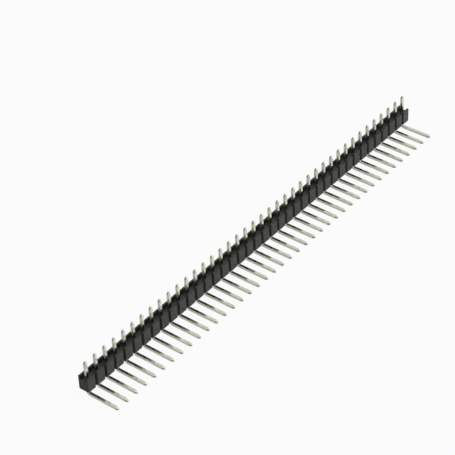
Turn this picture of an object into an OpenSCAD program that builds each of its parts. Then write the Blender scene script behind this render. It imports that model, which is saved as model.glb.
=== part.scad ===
// Single-row right-angle pin header strip: one moulded insulator holding a row of bent square-wire contacts.
// X runs along the row. The straight tails point up (+Z) and the bent legs point forwards (-Y).
// The origin is the middle of the row of tails, on the plane of the feet that seat on a circuit board.

/* [Row] */
// Number of contacts in the strip
positions = 40; // [2:1:59]
// Distance from one contact to the next
pitch = 2.54; // [2:0.01:5.08]

/* [Insulator] */
// Distance from the row of tails to the front face, on the side of the legs
front_depth = 1.1; // [0.9:0.01:2]
// Distance from the row of tails to the back face
back_depth = 1.2; // [0.9:0.01:2]
// Height of the moulding, from the leg side to the tops of the feet
body_height = 3.05; // [2:0.05:6]
// Width of the V-shaped break grooves at their mouths
groove_width = 0.7; // [0.2:0.05:0.9]
// Depth of the break groove in each long side
groove_depth = 0.7; // [0.1:0.05:0.8]
// How much each end face stands back from the outermost break line
end_inset = 0.38; // [0:0.01:0.5]
// Radius of the two long edges on the leg side
edge_radius = 0.2; // [0.1:0.01:0.5]

/* [Feet] */
// Height of the feet above the floor of the channel
foot_height = 0.66; // [0.2:0.01:1.2]
// Thickness of the two rows of feet, front to back
foot_thickness = 0.38; // [0.2:0.01:0.6]
// Width of the notch between two neighbouring feet, at their tops
notch_width = 0.44; // [0.2:0.01:1.2]
// Width of the same notch at the floor of the channel
notch_root = 0.1; // [0.05:0.01:0.5]

/* [Contacts] */
// Side of the square wire
wire = 0.53; // [0.4:0.01:0.8]
// Length of the straight tail above the feet
tail_length = 3.3; // [2:0.05:12]
// Distance from the tail's axis to the tip of the bent leg
leg_reach = 7.15; // [4:0.05:16]
// Distance from the insulator's leg side down to the axis of the bent leg
leg_drop = 1.17; // [1:0.01:8]
// Radius of the bend, along the wire's axis
bend_radius = 0.55; // [0.45:0.05:1]
// Length of the tapered tip at each end of a contact
tip_length = 0.55; // [0.2:0.05:1.5]
// Side of the square flat at the end of each tip
tip_side = 0.25; // [0.1:0.01:0.4]

/* [Hidden] */
$fn = 48;
cut = 0.2;
row_length = positions * pitch;
body_length = row_length - 2 * end_inset;
body_bottom = -body_height;
body_depth = front_depth + back_depth;
body_middle = (back_depth - front_depth) / 2;
channel_width = body_depth - 2 * foot_thickness;
leg_axis_z = body_bottom - leg_drop;
leg_top = leg_axis_z + wire / 2;
leg_bottom = leg_axis_z - wire / 2;
bend_z = leg_axis_z + bend_radius;

function contact_x(i) = (i - (positions + 1) / 2) * pitch;
function break_x(i) = contact_x(i) + pitch / 2;
function contact_name(i) = str("pin_", i < 10 ? "0" : "", i);

// Lays a drawing of the Y-Z plane across the strip, as a slab of the given width about x = 0
module across_x(width) {
    rotate([90, 0, 90])
        linear_extrude(width, center = true)
            children();
}

// Section of the moulding: long edges rounded on the leg side, and an open channel between the feet
module body_section() {
    translate([body_middle, 0])
        difference() {
            union() {
                translate([-body_depth / 2, body_bottom + edge_radius])
                    square([body_depth, body_height - edge_radius]);
                translate([-body_depth / 2 + edge_radius, body_bottom])
                    square([body_depth - 2 * edge_radius, 2 * edge_radius]);
                for (side = [-1, 1])
                    translate([side * (body_depth / 2 - edge_radius), body_bottom + edge_radius])
                        circle(edge_radius);
            }
            translate([-channel_width / 2, -foot_height])
                square([channel_width, foot_height + cut]);
        }
}

// Pair of V-shaped break grooves at one break line, in the X-Y plane
module break_grooves() {
    spread = groove_width / 2 * (1 + cut / groove_depth);
    for (side = [-1, 1])
        translate([0, body_middle])
            scale([1, side])
                polygon([
                    [-spread, body_depth / 2 + cut],
                    [0, body_depth / 2 - groove_depth],
                    [spread, body_depth / 2 + cut]
                ]);
}

// Notch between the feet of two neighbouring positions, in the X-Z plane
module foot_notch() {
    flare = (notch_width - notch_root) / foot_height;
    mouth = notch_width + flare * cut;
    polygon([
        [-notch_root / 2, -foot_height],
        [notch_root / 2, -foot_height],
        [mouth / 2, cut],
        [-mouth / 2, cut]
    ]);
}

module insulator() {
    color([0.13, 0.13, 0.14])
        difference() {
            across_x(body_length)
                body_section();
            for (i = [1:positions - 1])
                translate([break_x(i), 0, 0]) {
                    translate([0, 0, body_bottom - cut])
                        linear_extrude(body_height + 2 * cut)
                            break_grooves();
                    translate([0, body_middle, 0])
                        rotate([90, 0, 0])
                            linear_extrude(body_depth + 2 * cut, center = true)
                                foot_notch();
                }
            for (i = [1:positions])
                translate([contact_x(i) - wire / 2, -wire / 2, body_bottom - cut])
                    cube([wire, wire, body_height + 2 * cut]);
        }
}

// Outline of the wire seen square on: a straight bar along +Y that narrows to the flat of its tip
module tipped_bar(length) {
    polygon([
        [-wire / 2, 0],
        [-wire / 2, length - tip_length],
        [-tip_side / 2, length],
        [tip_side / 2, length],
        [wire / 2, length - tip_length],
        [wire / 2, 0]
    ]);
}

// Side view of a contact in the Y-Z plane: tail, bend and leg, the bend's arcs being laid over their chords
module contact_side() {
    outer_radius = bend_radius + wire / 2;
    inner_radius = bend_radius - wire / 2;
    difference() {
        union() {
            polygon([
                [tip_side / 2, tail_length],
                [-tip_side / 2, tail_length],
                [-wire / 2, tail_length - tip_length],
                [-wire / 2, bend_z],
                [-bend_radius, leg_top],
                [-leg_reach + tip_length, leg_top],
                [-leg_reach, leg_axis_z + tip_side / 2],
                [-leg_reach, leg_axis_z - tip_side / 2],
                [-leg_reach + tip_length, leg_bottom],
                [-bend_radius, leg_bottom],
                [wire / 2, bend_z],
                [wire / 2, tail_length - tip_length]
            ]);
            intersection() {
                translate([-bend_radius, bend_z])
                    circle(outer_radius);
                translate([-bend_radius, leg_bottom])
                    square(outer_radius);
            }
        }
        translate([-bend_radius, bend_z])
            circle(inner_radius);
    }
}

module contact() {
    color([0.82, 0.80, 0.72])
        intersection() {
            across_x(wire)
                contact_side();
            // Taper of the tail, seen from the front
            translate([0, wire / 2, leg_bottom])
                rotate([90, 0, 0])
                    linear_extrude(leg_reach + wire / 2)
                        tipped_bar(tail_length - leg_bottom);
            // Taper of the leg, seen from above
            translate([0, wire / 2, leg_bottom])
                linear_extrude(tail_length - leg_bottom)
                    rotate(180)
                        tipped_bar(leg_reach + wire / 2);
        }
}

insulator();
for (i = [1:positions])
    translate([contact_x(i), 0, 0]) contact();
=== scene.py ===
import math

import bpy
from mathutils import Matrix, Vector


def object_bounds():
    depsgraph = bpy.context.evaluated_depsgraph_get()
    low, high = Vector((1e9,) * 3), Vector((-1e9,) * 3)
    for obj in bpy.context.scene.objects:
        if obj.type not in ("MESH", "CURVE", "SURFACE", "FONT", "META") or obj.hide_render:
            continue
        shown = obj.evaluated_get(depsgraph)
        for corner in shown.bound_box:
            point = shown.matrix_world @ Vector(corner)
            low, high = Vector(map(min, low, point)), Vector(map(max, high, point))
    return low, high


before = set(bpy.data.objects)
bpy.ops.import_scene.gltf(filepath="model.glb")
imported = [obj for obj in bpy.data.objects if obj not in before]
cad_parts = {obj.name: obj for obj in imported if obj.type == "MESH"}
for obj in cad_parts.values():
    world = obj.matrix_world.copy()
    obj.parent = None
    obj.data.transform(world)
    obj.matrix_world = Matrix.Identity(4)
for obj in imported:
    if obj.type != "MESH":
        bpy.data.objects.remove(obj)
cad_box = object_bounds()

# The object stands on the undersides of its legs.
leg_bottom = cad_box[0].z


# ---------------------------------------------------------------- camera
# Place in millimetres. Azimuth, elevation and roll in degrees, where azimuth 0 looks along +Y.
CAMERA_PLACE = (-210.81, -168.60, 216.89)
CAMERA_ANGLES = (-50.293, 38.543, -2.766)
# Focal length and frame width in millimetres, and the shift as shares of the frame
CAMERA_LENS = 142.79
CAMERA_FRAME = 36.0
CAMERA_SHIFT = (-0.0086, -0.0068)
MM = 0.001


def make_camera():
    cam = bpy.data.cameras.new("camera")
    ob = bpy.data.objects.new("camera", cam)
    bpy.context.scene.collection.objects.link(ob)
    cam.sensor_width = CAMERA_FRAME
    cam.lens = CAMERA_LENS
    cam.shift_x, cam.shift_y = CAMERA_SHIFT
    cam.clip_start, cam.clip_end = 0.02, 20.0
    azimuth, elevation, roll = (math.radians(v) for v in CAMERA_ANGLES)
    level = math.cos(elevation)
    back = Vector((math.sin(azimuth) * level, -math.cos(azimuth) * level, math.sin(elevation)))
    turn = (-back).to_track_quat("-Z", "Y").to_matrix().to_4x4() @ Matrix.Rotation(roll, 4, "Z")
    ob.matrix_world = Matrix.Translation(Vector(CAMERA_PLACE) * MM) @ turn
    bpy.context.scene.camera = ob


make_camera()


# ---------------------------------------------------------------- materials
class Nodes:
    """A node tree being built, of a material or the world: short helpers over it."""

    def __init__(self, owner):
        owner.use_nodes = True
        self.tree = owner.node_tree

    def node(self, kind, **values):
        made = self.tree.nodes.new(kind)
        for key, value in values.items():
            setattr(made, key, value)
        return made

    def link(self, a, b):
        self.tree.links.new(a, b)

    def maths(self, operation, a, b=0.0):
        """A Math node, each of whose inputs is a socket or a number."""
        made = self.node("ShaderNodeMath", operation=operation)
        for value, socket in zip((a, b), made.inputs):
            if isinstance(value, float):
                socket.default_value = value
            else:
                self.link(value, socket)
        return made.outputs[0]

    def seen_white(self, to_camera, to_gloss):
        """Share of a backdrop that is plain white: to the camera, to a gloss or glass, else none."""
        path = self.node("ShaderNodeLightPath").outputs
        gloss = self.maths("MAXIMUM", path["Is Glossy Ray"], path["Is Transmission Ray"])
        return self.maths("MAXIMUM", self.maths("MULTIPLY", path["Is Camera Ray"], to_camera),
                          self.maths("MULTIPLY", gloss, to_gloss))


class Shader(Nodes):
    """The nodes of a new material."""

    def __init__(self, name):
        self.mat = bpy.data.materials.new(name)
        super().__init__(self.mat)
        self.bsdf = self.tree.nodes["Principled BSDF"]
        self.place = self.node("ShaderNodeTexCoord").outputs["Object"]

    def stretch(self, x, y, z):
        """The place on the object, in metres, times a scale along each axis."""
        made = self.node("ShaderNodeMapping")
        made.inputs["Scale"].default_value = (x, y, z)
        self.link(self.place, made.inputs["Vector"])
        return made.outputs["Vector"]

    def noise(self, vector, scale, detail, rough):
        made = self.node("ShaderNodeTexNoise")
        made.inputs["Scale"].default_value = scale
        made.inputs["Detail"].default_value = detail
        made.inputs["Roughness"].default_value = rough
        self.link(vector, made.inputs["Vector"])
        return made.outputs["Fac"]

    def ramp(self, fac, *stops):
        """A colour or grey that runs through stops of (position, value)."""
        made = self.node("ShaderNodeValToRGB")
        elements = made.color_ramp.elements
        while len(elements) < len(stops):
            elements.new(0.5)
        for element, (pos, value) in zip(elements, stops):
            element.position = pos
            rgb = (value,) * 3 if isinstance(value, float) else value
            element.color = (*rgb, 1)
        self.link(fac, made.inputs["Fac"])
        return made.outputs["Color"]

    def mix(self, fac, a, b):
        """Colour a where fac is 0, and colour b where it is 1."""
        made = self.node("ShaderNodeMix", data_type="RGBA")
        factor, first, second, result = 0, 6, 7, 2
        for value, socket in ((fac, factor), (a, first), (b, second)):
            self.link(value, made.inputs[socket])
        return made.outputs[result]

    def sideways(self):
        """How squarely the surface faces along the row: 0 on the long faces, 1 on a face straight across."""
        normal = self.node("ShaderNodeSeparateXYZ")
        self.link(self.node("ShaderNodeNewGeometry").outputs["True Normal"], normal.inputs[0])
        return self.maths("ABSOLUTE", normal.outputs["X"])

    def bump(self, height, strength, distance, normal=None):
        made = self.node("ShaderNodeBump")
        made.inputs["Strength"].default_value = strength
        made.inputs["Distance"].default_value = distance
        self.link(height, made.inputs["Height"])
        if normal is not None:
            self.link(normal, made.inputs["Normal"])
        return made.outputs["Normal"]


def black_plastic():
    """Satin glass-filled thermoplastic: near black, with a fine moulded grain and faint cloudy flow marks.

    The end faces and the flanks of the grooves and notches come with a duller, rougher finish from the
    mould, and their colour is painted a little darker as painted shade.
    """
    s = Shader("insulator_black")
    s.bsdf.inputs["IOR"].default_value = 1.5
    s.bsdf.inputs["Specular IOR Level"].default_value = 0.67
    dull_and_shaded = s.ramp(s.sideways(), (0.5, 0.0), (0.8, 1.0))
    cloud = s.noise(s.place, scale=700.0, detail=3.0, rough=0.6)
    satin_colour = s.ramp(cloud, (0.3, (0.0090, 0.0082, 0.0080)), (0.7, (0.0150, 0.0140, 0.0137)))
    # Painted shade: a darker colour on the end faces and the groove flanks
    shaded_dull_colour = s.ramp(cloud, (0.3, (0.0080, 0.0080, 0.0080)), (0.7, (0.0130, 0.0130, 0.0130)))
    s.link(s.mix(dull_and_shaded, satin_colour, shaded_dull_colour), s.bsdf.inputs["Base Color"])
    gloss = s.noise(s.place, scale=1500.0, detail=4.0, rough=0.6)
    satin_gloss = s.ramp(gloss, (0.3, 0.36), (0.7, 0.54))
    dull_gloss = s.ramp(gloss, (0.3, 0.64), (0.7, 0.82))
    s.link(s.mix(dull_and_shaded, satin_gloss, dull_gloss), s.bsdf.inputs["Roughness"])
    waves = s.noise(s.stretch(500.0, 500.0, 1500.0), scale=1.0, detail=2.0, rough=0.5)
    flow = s.bump(waves, strength=0.2, distance=0.00004)
    specks = s.noise(s.place, scale=14000.0, detail=2.0, rough=0.5)
    grain = s.bump(specks, strength=0.25, distance=0.00002, normal=flow)
    s.link(grain, s.bsdf.inputs["Normal"])
    return s.mat


def tin_plate():
    """Tin over drawn brass wire: bright rolled faces, duller sides left by shearing whose colour is painted
    darker as painted shade, and dark sides on the tips.
    """
    s = Shader("contact_tin")
    s.bsdf.inputs["Metallic"].default_value = 1.0
    # The sheared sides face along X, the tips' sides nearly so, and the rolled faces not at all.
    sideways = s.sideways()
    sheared_and_shaded = s.ramp(sideways, (0.45, 0.0), (0.8, 1.0))
    tip_sides = s.ramp(sideways, (0.8, 0.0), (0.85, 1.0), (0.975, 1.0), (0.985, 0.0))
    cloud = s.noise(s.place, scale=900.0, detail=3.0, rough=0.6)
    rolled_colour = s.ramp(cloud, (0.3, (0.72, 0.70, 0.59)), (0.7, (0.84, 0.82, 0.72)))
    # Painted shade: the sides along X get a darker colour, for the shadowed floor they mirror
    shaded_sheared_colour = s.ramp(cloud, (0.3, (0.46, 0.45, 0.38)), (0.7, (0.60, 0.59, 0.49)))
    # A darker colour on the tips' sides
    tip_side_colour = s.ramp(cloud, (0.3, (0.23, 0.23, 0.18)), (0.7, (0.32, 0.32, 0.27)))
    s.link(s.mix(tip_sides, s.mix(sheared_and_shaded, rolled_colour, shaded_sheared_colour), tip_side_colour),
           s.bsdf.inputs["Base Color"])
    gloss = s.noise(s.place, scale=2500.0, detail=4.0, rough=0.6)
    rolled_gloss = s.ramp(gloss, (0.3, 0.10), (0.7, 0.18))
    sheared_gloss = s.ramp(gloss, (0.3, 0.18), (0.7, 0.28))
    s.link(s.mix(sheared_and_shaded, rolled_gloss, sheared_gloss), s.bsdf.inputs["Roughness"])
    # Fine lines that run along the wire, in the tail and in the leg alike
    lines = s.noise(s.stretch(9000.0, 400.0, 400.0), scale=1.0, detail=2.0, rough=0.5)
    drawn = s.bump(lines, strength=0.12, distance=0.00001)
    s.link(drawn, s.bsdf.inputs["Normal"])
    return s.mat


plastic = black_plastic()
tin = tin_plate()
for name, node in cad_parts.items():
    node.data.materials.clear()
    node.data.materials.append(plastic if name == "insulator" else tin)


# ---------------------------------------------------------------- floor and light
# Half the side of the floor, in metres
FLOOR_HALF = 3.0
# Share of plain white in the floor as the camera and a gloss see it, and in the studio as a gloss sees it
FLOOR_TO_CAMERA = 0.93
FLOOR_TO_GLOSS = 0.66
STUDIO_TO_GLOSS = 0.3
# Brightness of the studio on the strip's left (-X) and right (+X)
STUDIO_LEFT = 0.12
STUDIO_RIGHT = 0.76


def make_floor():
    corners = [(x * FLOOR_HALF, y * FLOOR_HALF, leg_bottom) for x, y in ((-1, -1), (1, -1), (1, 1), (-1, 1))]
    mesh = bpy.data.meshes.new("floor")
    mesh.from_pydata(corners, [], [(0, 1, 2, 3)])
    ob = bpy.data.objects.new("floor", mesh)
    bpy.context.scene.collection.objects.link(ob)
    s = Shader("floor_white")
    s.bsdf.inputs["Base Color"].default_value = (0.9, 0.9, 0.9, 1)
    s.bsdf.inputs["Roughness"].default_value = 0.9
    s.bsdf.inputs["Specular IOR Level"].default_value = 0.0
    white = s.node("ShaderNodeEmission")
    shown = s.node("ShaderNodeMixShader")
    s.link(s.seen_white(FLOOR_TO_CAMERA, FLOOR_TO_GLOSS), shown.inputs["Fac"])
    s.link(s.bsdf.outputs[0], shown.inputs[1])
    s.link(white.outputs[0], shown.inputs[2])
    s.link(shown.outputs[0], s.tree.nodes["Material Output"].inputs["Surface"])
    mesh.materials.append(s.mat)


def make_lamp(name, direction, distance, size, power):
    """A square soft box that shines on the origin from the direction given."""
    lamp = bpy.data.lights.new(name, "AREA")
    lamp.size = size
    lamp.energy = power
    ob = bpy.data.objects.new(name, lamp)
    bpy.context.scene.collection.objects.link(ob)
    back = Vector(direction).normalized()
    turn = (-back).to_track_quat("-Z", "Y").to_matrix().to_4x4()
    ob.matrix_world = Matrix.Translation(back * distance) @ turn


def make_world():
    """A soft studio, dimmer on the strip's left, with a white backdrop for the camera."""
    world = bpy.data.worlds.new("studio")
    s = Nodes(world)
    lit = s.tree.nodes["Background"]
    split = s.node("ShaderNodeSeparateXYZ")
    s.link(s.node("ShaderNodeTexCoord").outputs["Generated"], split.inputs[0])
    fade = s.node("ShaderNodeMapRange")
    ends = {"From Min": -1.0, "From Max": 1.0, "To Min": STUDIO_LEFT, "To Max": STUDIO_RIGHT}
    for name, value in ends.items():
        fade.inputs[name].default_value = value
    s.link(split.outputs["X"], fade.inputs["Value"])
    s.link(fade.outputs[0], lit.inputs["Strength"])
    backdrop = s.node("ShaderNodeBackground")
    for background in (lit, backdrop):
        background.inputs["Color"].default_value = (1, 1, 1, 1)
    shown = s.node("ShaderNodeMixShader")
    s.link(s.seen_white(1.0, STUDIO_TO_GLOSS), shown.inputs["Fac"])
    s.link(lit.outputs[0], shown.inputs[1])
    s.link(backdrop.outputs[0], shown.inputs[2])
    s.link(shown.outputs[0], s.tree.nodes["World Output"].inputs["Surface"])
    bpy.context.scene.world = world


make_floor()
make_world()
make_lamp("key", direction=(0.3, -0.5, 0.9), distance=1.2, size=1.4, power=3.6)
bpy.context.scene.view_settings.view_transform = "Standard"
